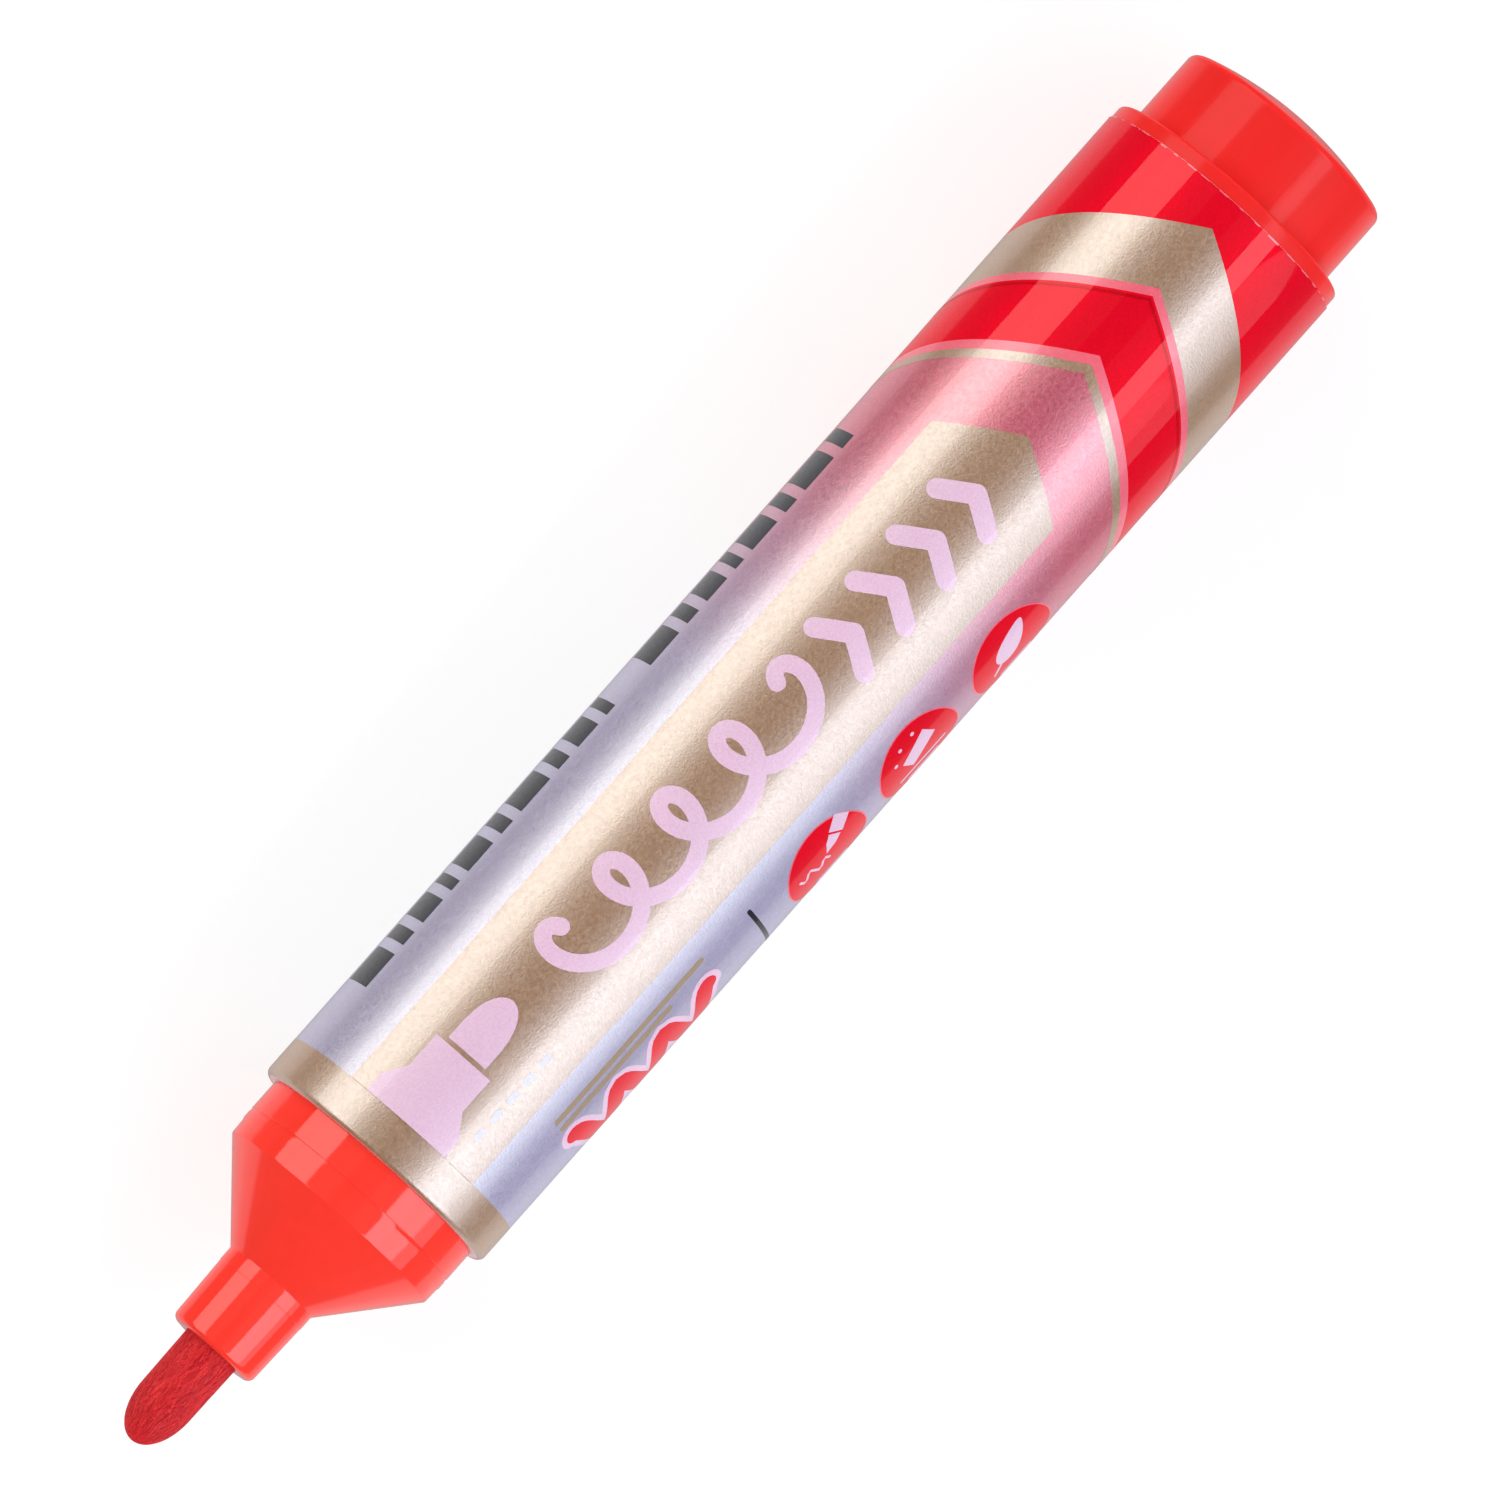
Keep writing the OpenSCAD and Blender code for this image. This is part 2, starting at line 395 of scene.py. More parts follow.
def base_foil():
    """Silver foil that turns into pink towards the rear."""
    m = under_gloss("foil_silver_to_pink", 5.8, sheen=(0.96, 0.98, 1.0))
    split = m.add("ShaderNodeSeparateXYZ")
    m.link(m.place, split.inputs[0])
    fade = m.add("ShaderNodeMapRange", interpolation_type="SMOOTHSTEP")
    m.link(split.outputs["X"], fade.inputs["Value"])
    fade.inputs["From Min"].default_value = 36 * MM
    fade.inputs["From Max"].default_value = 66 * MM
    along = fade.outputs["Result"]
    silver = (0.42, 0.34, 0.62)
    pink = (0.98, 0.022, 0.125)
    clean = m.mixed(along, silver, pink)
    darker = m.mixed(along, shade(silver, 0.95), shade(pink, 0.92))
    m.link(m.ranged(along, 0.0, 0.30, 0, 1), m.shader.inputs["Metallic"])
    return satin_print(m, clean, darker, 0.43, 13.0, 0.24)


def moulded(name, colour, ior, roughness, streaks):
    """Glossy moulded plastic with faint flow streaks, orange peel and fine scratches."""
    m = Nodes(name)
    m.set(IOR=ior)
    flow = m.noise(1.2, 3, stretch=(12, 1, 1))
    colours = m.mixed(m.ranged(flow, 0, 1), shade(colour, 0.98), shade(colour, 1.02))
    gloss = m.ranged(m.noise(2.2, 4, stretch=(3, 1, 1)), roughness, roughness + 0.05)
    peel = m.bump(m.noise(1.6, 1, stretch=(4, 1, 1)), 1.6 * streaks)
    drawn = m.bump(m.noise(0.45, 2, stretch=(40, 1, 1)), 2.4 * streaks, peel)
    scratches = m.bump(m.noise(0.12, 2, stretch=(1, 6, 6)), 0.12 * streaks, drawn)
    return m.finish(colours, gloss, scratches)


def white_plastic():
    """Natural polypropylene of the barrel, slightly milky."""
    m = Nodes("natural_white_plastic")
    m.set(IOR=1.49)
    flow = m.noise(1.5, 3, stretch=(10, 1, 1))
    colour = m.mixed(m.ranged(flow, 0, 1), (0.78, 0.76, 0.76), (0.86, 0.85, 0.86))
    gloss = m.ranged(m.noise(1.0, 3), 0.28, 0.42)
    return m.finish(colour, gloss, m.bump(m.noise(0.3, 3), 2.0))


def nib_fibre():
    """Ink-soaked felt; each fibre's random tone, with painted shade that is lighter along the fibre's
    middle, is in the mesh.
    """
    m = Nodes("nib_felt")
    m.set(IOR=1.4)
    m.shader.inputs["Specular IOR Level"].default_value = 0.3
    fibre_tone_and_shade = m.add("ShaderNodeAttribute", attribute_name="fibre_tone_and_shade")
    worn = m.add("ShaderNodeAttribute", attribute_name="worn")
    # dark to bright red by each fibre's random tone and its painted shade, lighter along its middle
    felt_tone_and_shade = m.mixed(fibre_tone_and_shade.outputs["Fac"], (0.34, 0.001, 0.007), (0.98, 0.050, 0.046))
    tip = m.mixed(worn.outputs["Fac"], felt_tone_and_shade, (0.78, 0.006, 0.012))
    speck = m.ranged(m.noise(0.09, 2, stretch=(3, 1, 1)), 0, 0.5)
    colour = m.mixed(speck, tip, (0.60, 0.004, 0.014))
    rough = m.ranged(m.noise(0.2, 2, stretch=(3, 1, 1)), 0.5, 0.75)
    return m.finish(colour, rough, m.bump(m.noise(0.05, 2, stretch=(5, 1, 1)), 8.0))


def reservoir_fibre():
    """Coarse fibre bundle full of ink."""
    m = Nodes("reservoir_fibre")
    m.set(IOR=1.4)
    bundle = m.noise(0.3, 3, stretch=(20, 1, 1))
    colour = m.mixed(m.ranged(bundle, 0, 1), (0.30, 0.004, 0.012), (0.62, 0.03, 0.04))
    rough = m.ranged(bundle, 0.45, 0.8)
    return m.finish(colour, rough, m.bump(bundle, 60.0))


def reservoir_film():
    """Thin wrap over the reservoir, stained by the ink."""
    m = Nodes("reservoir_film")
    m.set(IOR=1.5)
    stain = m.noise(3.0, 4, stretch=(3, 1, 1))
    colour = m.mixed(m.ranged(stain, 0, 1), (0.86, 0.30, 0.34), (0.90, 0.62, 0.64))
    rough = m.ranged(m.noise(0.8, 2), 0.15, 0.3)
    return m.finish(colour, rough, m.bump(m.noise(0.9, 2, stretch=(6, 1, 1)), 12.0))


def floor_paint():
    """Pale, slightly glowing table, as a product photo's light table."""
    m = Nodes("pale_table")
    m.set(IOR=1.3, Emission_Color=(1, 1, 1, 1), Emission_Strength=0.74)
    m.shader.inputs["Specular IOR Level"].default_value = 0.1
    colour = m.mixed(m.ranged(m.noise(40, 3), 0, 1), (0.295, 0.295, 0.30), (0.31, 0.31, 0.312))
    rough = m.ranged(m.noise(15, 2), 0.7, 0.85)
    return m.finish(colour, rough)


# ---------------------------------------------------------------- mouldings

def spigot_bars(x0, x1, count=8, width=1.0):
    """Low bars round a spigot, which grip the barrel's bore."""
    bars = []
    for i in range(count):
        root_r = SPIGOT_R - 0.4
        flat = [(x0, root_r), (x1, root_r), (x1, SPIGOT_R), (x0, SPIGOT_R)]
        bars.append(prism(flat, width, FULL_TURN * i / count))
    return bars


def vent_angles():
    """Angles close together across each vent, so that it stays round."""
    spread = np.radians(np.linspace(-7.7, 7.7, 13))
    return np.concatenate([spread + FULL_TURN * i / VENTS for i in range(VENTS)])


def vented(x, r, angles):
    """Opens air channels along the nozzle's nib bore."""
    off = np.mod(angles + math.pi / VENTS, FULL_TURN / VENTS) - math.pi / VENTS
    across = NIB_BORE_R * np.sin(off)
    inside = np.abs(across) < VENT_R
    grown = NIB_BORE_R * np.cos(off) + np.sqrt(np.maximum(VENT_R ** 2 - across ** 2, 0))
    bore = (np.abs(r - NIB_BORE_R) < 1e-6) & (x > VENT_FRONT_X)
    return np.where(bore & inside, grown, r)


def build_nozzle(material):
    """Collar, cone, cap seat and spigot in one moulding, hollow behind the cone."""
    slope = (SEAT_R - COLLAR_REAR_R) / (SEAT_X - CONE_X)
    wall_l = WALL * math.sqrt(1 + 1 / slope ** 2)
    edge_r = 0.55
    spigot_r = SPIGOT_R - SPIGOT_RELIEF
    chamfer = 0.5
    parting_x = CONE_X - 1.1
    bead_x = SEAT_X + 1.1
    low_r = SEAT_R - 0.06

    def cone_inside_x(r):
        return CONE_X + wall_l + (r - COLLAR_REAR_R) / slope

    collar_edge = arc(COLLAR_X + edge_r, COLLAR_FRONT_R - edge_r, edge_r, -90, 0, 8)
    side = [
        (parting_x, COLLAR_REAR_R - 0.03),
        (parting_x + 0.03, COLLAR_REAR_R),
        (CONE_X, COLLAR_REAR_R),
        (SEAT_X, SEAT_R - 0.10),
        (bead_x, low_r),
        (bead_x + 0.25, SEAT_R),
        (bead_x + 0.75, SEAT_R),
        (bead_x + 1.0, low_r),
        (bead_x + 1.04, SEAT_R),
        (0.0, SEAT_R),
        (0.0, spigot_r),
        (SPIGOT_L - chamfer, spigot_r),
        (SPIGOT_L, spigot_r - chamfer),
    ]
    hollow = [
        (SPIGOT_L, CAVITY_R),
        (cone_inside_x(CAVITY_R), CAVITY_R),
        (cone_inside_x(GUIDE_R), GUIDE_R),
        (GUIDE_END_X, GUIDE_R),
        (GUIDE_END_X, NIB_BORE_R),
        (COLLAR_X + 0.7, NIB_BORE_R),
        (COLLAR_X + 0.55, NIB_BORE_R),
        (COLLAR_X, NIB_BORE_R),
    ]
    # the hollow starts at the first point of the outside's last corner
    outside = softened(collar_edge[1:] + side, 0.09)[:-CORNER_STEPS]
    body = turned(collar_edge[:1] + outside + hollow, extra_angles=vent_angles(), shape=vented)
    gusset = [
        (cone_inside_x(GUIDE_R) - wall_l / 2, GUIDE_R - RIB_OVERLAP),
        (cone_inside_x(CAVITY_R) - wall_l / 2, CAVITY_R),
        (cone_inside_x(CAVITY_R), CAVITY_R + RIB_OVERLAP),
        (GUIDE_END_X, CAVITY_R + RIB_OVERLAP),
        (GUIDE_END_X, GUIDE_R - RIB_OVERLAP),
    ]
    gussets = [prism(gusset, RIB_T, FULL_TURN * i / 4) for i in range(4)]
    parts = [body, *spigot_bars(1.0, 8.5), *gussets]
    return make_object("nozzle_moulding", *joined(parts), material)


def build_plug(material):
    """Rear plug: spigot, flange, post and domed end."""
    rise = DOME_X - RIM_X
    rim_edge_r = 0.6
    rim_r = POST_R - rim_edge_r
    height = rise + rim_edge_r
    dome_r = (rim_r ** 2 + height ** 2 - rim_edge_r ** 2) / (2 * rise)
    dome_angle = math.degrees(math.atan2(dome_r - height, rim_r))
    spigot_r = SPIGOT_R - SPIGOT_RELIEF
    chamfer = 0.5
    side = [
        (PLUG_FRONT_X, spigot_r - chamfer),
        (PLUG_FRONT_X + chamfer, spigot_r),
        (BARREL_END_X, spigot_r),
        (BARREL_END_X, FLANGE_R),
    ]
    flange = arc(POST_X - FLANGE_EDGE_R, FLANGE_R - FLANGE_EDGE_R, FLANGE_EDGE_R, 0, 90, 6)
    rim = arc(RIM_X - rim_edge_r, rim_r, rim_edge_r, 0, dome_angle, 8)
    dome = arc(DOME_X - dome_r, 0, dome_r, dome_angle, 90, 16)[1:]
    dome[-1] = (DOME_X, 0.0)
    hollow = [
        (DOME_X - WALL, 0.0),
        (RIM_X - WALL, POST_CAVITY_R),
        (BARREL_END_X, CAVITY_R),
        (PLUG_FRONT_X, CAVITY_R),
    ]
    # without its two end corners: the hollow meets the first one, and the last one stays sharp
    outside = softened(side, 0.06)[CORNER_STEPS + 1:-CORNER_STEPS - 1] + side[-1:]
    body = turned(outside + flange + [(POST_X, POST_R)] + rim + dome + hollow)
    rib_x = PLUG_FRONT_X - 0.6
    rib_r = CAVITY_R + RIB_OVERLAP
    # two plates that cross on the axis, so four ribs
    rib = [(rib_x, -rib_r), (RIM_X, -rib_r), (RIM_X, rib_r), (rib_x, rib_r)]
    ribs = [prism(rib, RIB_T, FULL_TURN * i / 4) for i in range(2)]
    parts = [body, *spigot_bars(PLUG_FRONT_X + 1.5, BARREL_END_X - 1), *ribs]
    return make_object("plug_moulding", *joined(parts), material)


# ---------------------------------------------------------------- nib

def fibre_field(rows_mm, columns, rng):
    """Height of short wavy fibres laid along a nib, on a grid of places along it and round it, and their
    colour: a random tone for each fibre, with painted shade that makes it lighter along its middle and
    darker at its sides.
    """
    rows = len(rows_mm)
    height = np.full((rows, columns), -1.0)
    light = np.zeros((rows, columns))
    step = rows_mm[1] - rows_mm[0]
    round_mm = FULL_TURN * NIB_R
    cell = round_mm / columns
    for _ in range(4200):
        start = rng.uniform(-1.5, rows_mm[-1])
        around = rng.uniform(0, round_mm)
        length = rng.uniform(0.5, 2.0)
        lean = rng.normal(0, 0.22)
        wave = rng.uniform(0.02, 0.10)
        turns = rng.uniform(0.5, 1.6)
        phase = rng.uniform(0, FULL_TURN)
        width = rng.uniform(0.030, 0.055)
        level = rng.uniform(-0.6, 0.35)
        tone = np.clip(rng.normal(0.35, 0.27), 0, 1)
        t = np.linspace(0, 1, max(4, int(length / step * 1.4)))
        along = start + length * t
        across = around + lean * length * t + wave * np.sin(FULL_TURN * turns * t + phase)
        row = np.rint((along - rows_mm[0]) / step).astype(int)
        inside = (row >= 0) & (row < rows)
        row, across, ends = row[inside], across[inside], np.sin(math.pi * t[inside]) ** 0.4
        centre = np.rint(across / cell).astype(int)
        for k in (-2, -1, 0, 1, 2):
            off = (centre + k) * cell - across
            profile = 1 - (off / width) ** 2
            rise = level + 0.65 * profile * ends
            column = np.mod(centre + k, columns)
            higher = (profile > 0) & (rise > height[row, column])
            height[row[higher], column[higher]] = rise[higher]
            # each fibre's random tone times painted shade: full along the fibre's middle, half at its sides
            light[row[higher], column[higher]] = tone * (0.5 + 0.5 * profile[higher])
    return height, light


def nib_profile(step):
    """The exposed nib's outline from its tip: the way along its surface, x and r, one step apart."""
    tip_l = 3.6
    quarter = np.radians(np.linspace(0, 90, 400))
    tip_x = NIB_X + tip_l * (1 - np.cos(quarter))
    tip_r = NIB_TIP_R * np.sin(quarter)
    way = np.concatenate([[0], np.cumsum(np.hypot(np.diff(tip_x), np.diff(tip_r)))])
    shaft_x = tip_x[-1]
    shaft_l = COLLAR_X + 0.6 - shaft_x
    rows_mm = np.arange(0, way[-1] + shaft_l, step)
    x = np.interp(rows_mm, way, tip_x)
    r = np.interp(rows_mm, way, tip_r)
    on_shaft = rows_mm > way[-1]
    x[on_shaft] = shaft_x + rows_mm[on_shaft] - way[-1]
    taper = np.clip((x - shaft_x) / (COLLAR_X - shaft_x), 0, 1)
    r[on_shaft] = (NIB_TIP_R + (NIB_R - NIB_TIP_R) * taper)[on_shaft]
    return rows_mm, x, r


def build_nib(material):
    """Nib rod with a bullet end, its exposed felt shaped by the fibres."""
    rng = np.random.default_rng(11)
    columns = 300
    felt_depth = 0.045
    rows_mm, x, r = nib_profile(0.05)
    height, light = fibre_field(rows_mm, columns, rng)
    pressed = np.clip((COLLAR_X + 0.1 - x) / 0.35, 0.0, 1.0)
    depth = felt_depth * (height - 1.0) / 2 * pressed[:, None] ** 0.5
    worn = np.clip(1 - rows_mm / 1.6, 0, 1)
    depth *= (1 - 0.55 * worn)[:, None]
    slope_r = np.gradient(r, rows_mm)
    slope_x = np.gradient(x, rows_mm)
    angles = np.linspace(0, FULL_TURN, columns, endpoint=False)
    grid_x = x[:, None] + depth * -slope_r[:, None]
    grid_r = r[:, None] + depth * slope_x[:, None]
    # the tip is a single point, added below
    grid_x, grid_r, light = grid_x[1:], np.maximum(grid_r[1:], 0.02), light[1:]
    rear = [(COLLAR_X + 0.9, NIB_R), (0.0, NIB_R), (NIB_END_X - 0.4, NIB_R), (NIB_END_X, NIB_R - 0.4)]
    for rear_x, rear_r in rear:
        grid_x = np.vstack([grid_x, np.full(columns, rear_x)])
        grid_r = np.vstack([grid_r, np.full(columns, rear_r)])
        light = np.vstack([light, light[-1]])
    points = round_points(grid_x, grid_r, angles)
    n = len(grid_x)
    ids = np.arange(n * columns).reshape(n, columns)
    verts = np.concatenate([points.reshape(-1, 3), [[NIB_X + 0.01, 0, 0], [NIB_END_X, 0, 0]]])
    tip_id, end_id = n * columns, n * columns + 1
    a, b = ids[:-1], ids[1:]
    quads = np.stack([a, np.roll(a, -1, 1), np.roll(b, -1, 1), b], axis=-1).reshape(-1, 4)
    faces = quads.tolist()
    for j in range(columns):
        q = (j + 1) % columns
        faces.append([tip_id, int(ids[0, q]), int(ids[0, j])])
        faces.append([end_id, int(ids[-1, j]), int(ids[-1, q])])
    obj = make_object("nib_felt", verts, faces, None, material)
    shades = {
        # each fibre's random tone with painted shade across it, and the worn tip
        "fibre_tone_and_shade": np.append(light.ravel(), [0.4, 0.4]),
        "worn": np.clip(1 - (verts[:, 0] - NIB_X) / 1.1, 0, 1) * 0.6,
    }
    for name, values in shades.items():
        attribute = obj.data.attributes.new(name, "FLOAT", "POINT")
        attribute.data.foreach_set("value", values.astype(np.float32))
    return obj


# ---------------------------------------------------------------- label

def film_radius(x, top):
    """Radius of the film at x, a height above the barrel's own surface."""
    share = (x - EDGE_R) / (BARREL_END_X - EDGE_R)
    return SIDE_FRONT_R + (SIDE_REAR_R - SIDE_FRONT_R) * share + top


def film_front(top):
    """Points (x, r) over the barrel's rounded front edge, where the film is turned in."""
    return arc(EDGE_R, SIDE_FRONT_R - EDGE_R, EDGE_R + top, -67.5, 0, 9)


def film_ring(x_end, bottom, top):
    """Points, faces and normals of a closed ring of film or ink, from the front edge to x_end."""
    outer = film_front(top) + [(x_end, film_radius(x_end, top))]
    inner = film_front(bottom) + [(x_end, film_radius(x_end, bottom))]
    return turned(outer + inner[::-1])


def inside_loop(points, loop):
    """True for each point inside a closed loop."""
    x, y = points[:, 0], points[:, 1]
    result = np.zeros(len(points), bool)
    for (x0, y0), (x1, y1) in zip(loop, loop[1:] + loop[:1]):
        if y0 == y1:
            continue
        crosses = (y0 > y) != (y1 > y)
        result ^= crosses & (x < (x1 - x0) * (y - y0) / (y1 - y0) + x0)
    return result


def near_line(points, line, width):
    """True for each point within half a width of a line of points."""
    best = np.full(len(points), 1e9)
    for a, b in zip(line, line[1:]):
        a, b = np.array(a), np.array(b)
        along = b - a
        t = np.clip(((points - a) @ along) / max(along @ along, 1e-12), 0, 1)
        best = np.minimum(best, np.linalg.norm(points - a - t[:, None] * along, axis=1))
    return best < width / 2


class Area:
    """A filled loop: its outline and a test for what is inside it."""

    def __init__(self, loop):
        self.loops = [list(loop)]

    def holds(self, points):
        return inside_loop(points, self.loops[0])


class Stroke:
    """A line drawn with a round pen of a given width. A line with corners is outlined piece by piece."""

    def __init__(self, line, width, corners=False):
        self.line, self.width = line, width
        if corners:
            pieces = [Stroke([a, b], width) for a, b in zip(line, line[1:])]
            self.loops = [piece.loops[0] for piece in pieces]
            return
        p = np.array(line, float)
        way = np.gradient(p, axis=0)
        side = unit(np.stack([-way[:, 1], way[:, 0]], axis=1)) * width / 2
        left = [tuple(q) for q in p + side]
        right = [tuple(q) for q in (p - side)[::-1]]
        end_cap = self.cap(p[-1], side[-1])
        start_cap = self.cap(p[0], -side[0])
        self.loops = [left + end_cap + right + start_cap]

    def cap(self, end, side):
        """Seven points round an end of the line, clockwise from one side of it."""
        start = math.atan2(side[1], side[0])
        turn = [start - math.pi * k / 8 for k in range(1, 8)]
        return [tuple(end + self.width / 2 * np.array([math.cos(a), math.sin(a)])) for a in turn]

    def holds(self, points):
        return near_line(points, self.line, self.width * 0.998)


def cut_sheet(areas):
    """Flat points and triangles that fill the areas, cut along the label so that it can be bent."""
    coords, edges = [], []
    for area in areas:
        for loop in area.loops:
            first = len(coords)
            coords.extend(loop)
            edges.extend((first + i, first + (i + 1) % len(loop)) for i in range(len(loop)))
    flat = np.array(coords)
    x0, x1 = flat[:, 0].min() - 0.05, flat[:, 0].max() + 0.05
    s0, s1 = flat[:, 1].min(), flat[:, 1].max()
    step = 2 * LABEL_HALF / LABEL_STEPS
    for k in range(math.floor(s0 / step) + 1, math.ceil(s1 / step)):
        coords.extend([(x0, k * step), (x1, k * step)])
        edges.append((len(coords) - 2, len(coords) - 1))
    result = delaunay_2d_cdt([Vector(c) for c in coords], edges, [], 0, 1e-6)
    points = np.array([tuple(v) for v in result[0]])
    triangles = np.array([f for f in result[2] if len(f) == 3])
    corners = points[triangles]
    u, v = corners[:, 1] - corners[:, 0], corners[:, 2] - corners[:, 0]
    double_area = u[:, 0] * v[:, 1] - u[:, 1] * v[:, 0]
    centres = corners.mean(axis=1)
    kept = np.zeros(len(triangles), bool)
    for area in areas:
        kept |= area.holds(centres)
    kept &= np.abs(double_area) > 1e-9
    triangles = triangles[kept]
    clockwise = double_area[kept] < 0
    triangles[clockwise] = triangles[clockwise][:, ::-1]
    used, triangles = np.unique(triangles, return_inverse=True)
    return points[used], triangles.reshape(-1, 3)


def ink(areas, level):
    """A thin closed shell of print on the film, bent round the marker. Level 1 lies on the base foil."""
    top = BASE_T + INK_T * level
    bottom = top - INK_T * 1.2
    points, triangles = cut_sheet(areas)
    angle = points[:, 1] / LABEL_R
    outer = round_points(points[:, 0], film_radius(points[:, 0], top), angle)
    inner = round_points(points[:, 0], film_radius(points[:, 0], bottom), angle)
    radial = np.stack([0 * angle, -np.sin(angle), np.cos(angle)], axis=1)
    n = len(points)
    # s grows towards -Y, so the flat triangles turn over when they are bent round the marker
    above = [[int(c), int(b), int(a)] for a, b, c in triangles]
    below = [[c + n, b + n, a + n] for a, b, c in above]
    normals = [radial[i] for face in above for i in face]
    normals += [-radial[i - n] for face in below for i in face]
    edges = dict.fromkeys(edge for a, b, c in above for edge in ((a, b), (b, c), (c, a)))
    walls = []
    for a, b in edges:
        if (b, a) not in edges:
            walls.append([b, a, a + n, b + n])
            normals += [unit(np.cross(outer[b] - outer[a], radial[a]))] * 4
    return np.concatenate([outer, inner]), above + below + walls, np.array(normals)


def chevron(apex0, apex1):
    """A V band all the way round, its point towards the rear."""
    half = LABEL_HALF - LABEL_SEAM_GAP
    reach = CHEVRON_SLOPE * half
    return Area([
        (apex0 - reach, -half), (apex1 - reach, -half), (apex1, 0),
        (apex1 - reach, half), (apex0 - reach, half), (apex0, 0),
    ])


def circle(x, s, radius, steps=48):
    """A disc at (x, s)."""
    turn = [FULL_TURN * k / steps for k in range(steps)]
    return Area([(x + radius * math.cos(a), s + radius * math.sin(a)) for a in turn])


def rounded_bar(x0, x1, s, width):
    """A straight bar along the marker with round ends."""
    half = width / 2
    return Stroke([(x0 + half, s), (x1 - half, s)], width)


def box_area(x0, x1, s0, s1):
    """A rectangle along the marker."""
    return Area([(x0, s0), (x1, s0), (x1, s1), (x0, s1)])


def placed(points, x, s, size=1.0, angle=0.0):
    """Points turned by an angle in degrees, scaled and moved to (x, s)."""
    c, d = math.cos(math.radians(angle)), math.sin(math.radians(angle))
    return [(x + size * (c * a - d * b), s + size * (d * a + c * b)) for a, b in points]


def gold_art():
    """Panel and chevrons in gold foil."""
    panel = Area([(2.95, -5.93), (63.05, -5.93), (66.5, 0), (63.05, 5.93), (2.95, 5.93)])
    return [panel, chevron(72.25, 73.07), chevron(80.1, RED_FIELD_X)]


def red_field():
    """The solid rear end of the label, behind the last chevron."""
    half = LABEL_HALF - LABEL_SEAM_GAP
    front_x = RED_FIELD_X - CHEVRON_SLOPE * half
    return Area([
        (front_x, -half), (FILM_END_X, -half), (FILM_END_X, half), (front_x, half), (RED_FIELD_X, 0),
    ])


def pictogram():
    """A nib in its collar, drawn flat."""
    s = -0.78
    collar = [
        (2.98, 3.6), (4.5, 3.6), (6.1, 2.47), (8.94, 2.47),
        (8.94, -2.47), (6.1, -2.47), (4.5, -3.6), (2.98, -3.6),
    ]
    bullet = [(9.3, -1.7)]
    for k in range(1, 24):
        a = math.radians(-90 + 180 * k / 24)
        bullet.append((10.4 + 3.66 * math.cos(a) ** 0.85, 1.7 * math.sin(a)))
    bullet.append((9.3, 1.7))
    return [Area(placed(collar, 0, s)), Area(placed(bullet, 0, s))]


def scribble():
    """A line of loops, as a marker leaves on a board."""
    loops, pitch, steps = 4, 6.0, 32
    line = []
    for k in range(steps * loops + 9):
        t = FULL_TURN * k / steps - math.pi / 4
        line.append((19.2 + pitch * t / FULL_TURN - 2.25 * math.sin(t), -2.4 * math.cos(t)))
    return Stroke(line, 1.25)


def arrows():
    """Four thick arrowheads that point to the rear."""
    shapes = []
    half = 2.35
    for k in range(4):
        x = 46.9 + 4.25 * k
        shapes.append(Stroke([(x, -half), (x + 1.5, 0), (x, half)], 1.45, corners=True))
    return shapes


def disc_icons():
    """Plain signs on the discs: a marker and its line, an eraser, a leaf."""
    marker = [(0, -0.7), (1.5, -0.7), (1.5, 0.7), (0, 0.7)]
    point = [(-0.2, -0.6), (-1.0, -0.5), (-1.9, 0), (-1.0, 0.5), (-0.2, 0.6)]
    shapes = [
        Area(placed(marker, 37.9, DISC_S - 1.9, 1.0, -40)),
        Area(placed(point, 37.9, DISC_S - 1.9, 1.0, -40)),
    ]
    squiggle = []
    for k in range(11):
        squiggle.append((33.7 + 0.28 * k, DISC_S - 0.6 + 0.45 * math.sin(k * 1.25) + 0.07 * k))
    shapes.append(Stroke(squiggle, 0.24))
    block = [(-1.5, -0.75), (1.5, -0.75), (1.5, 0.75), (-1.5, 0.75)]
    shapes.append(Area(placed(block, 46.1, DISC_S - 0.9, 1.0, -28)))
    shapes.append(rounded_bar(43.6, 48.3, DISC_S + 1.15, 0.26))
    for x, s in ((44.0, -1.5), (44.9, -2.5), (46.3, -2.8)):
        shapes.append(circle(x, DISC_S + s, 0.17, 16))
    leaf = []
    for k in range(24):
        a = FULL_TURN * k / 24
        leaf.append((2.0 * math.cos(a), 1.05 * math.sin(a) * (1 - 0.45 * math.cos(a))))
    shapes.append(Area(placed(leaf, 55.8, DISC_S - 1.1, 1.0, -42)))
    shapes.append(Stroke(placed([(-1.4, 0), (-3.1, 0)], 55.8, DISC_S - 1.1, 1.0, -42), 0.26))
    for x in DISC_X:
        shapes.append(rounded_bar(x - 1.6, x + 1.6, DISC_S + 2.4, 0.5))
    return shapes


def wave_line():
    """Three waves, drawn thick below the panel."""
    waves, steps = 3, 60
    line = []
    for k in range(steps + 1):
        line.append((10.6 + 13.6 * k / steps, 12.9 - 2.2 * math.cos(FULL_TURN * waves * k / steps)))
    return line


def black_art():
    """Bars of several widths along the upper side, and a thin divider."""
    shapes = []
    widths = (3.0, 1.2, 2.1, 0.9, 2.6, 1.2)
    gap = 0.85
    for start, end in ((8.5, 34.6), (38.0, 59.8)):
        x, k = start, 0
        while x + widths[k % len(widths)] <= end:
            width = widths[k % len(widths)]
            shapes.append(box_area(x, x + width, -14.6, -10.8))
            x += width + gap
            k += 1
    divider_x = 29.7
    shapes.append(Stroke([(divider_x, 8.45), (divider_x, 15.0)], 0.36))
    return shapes


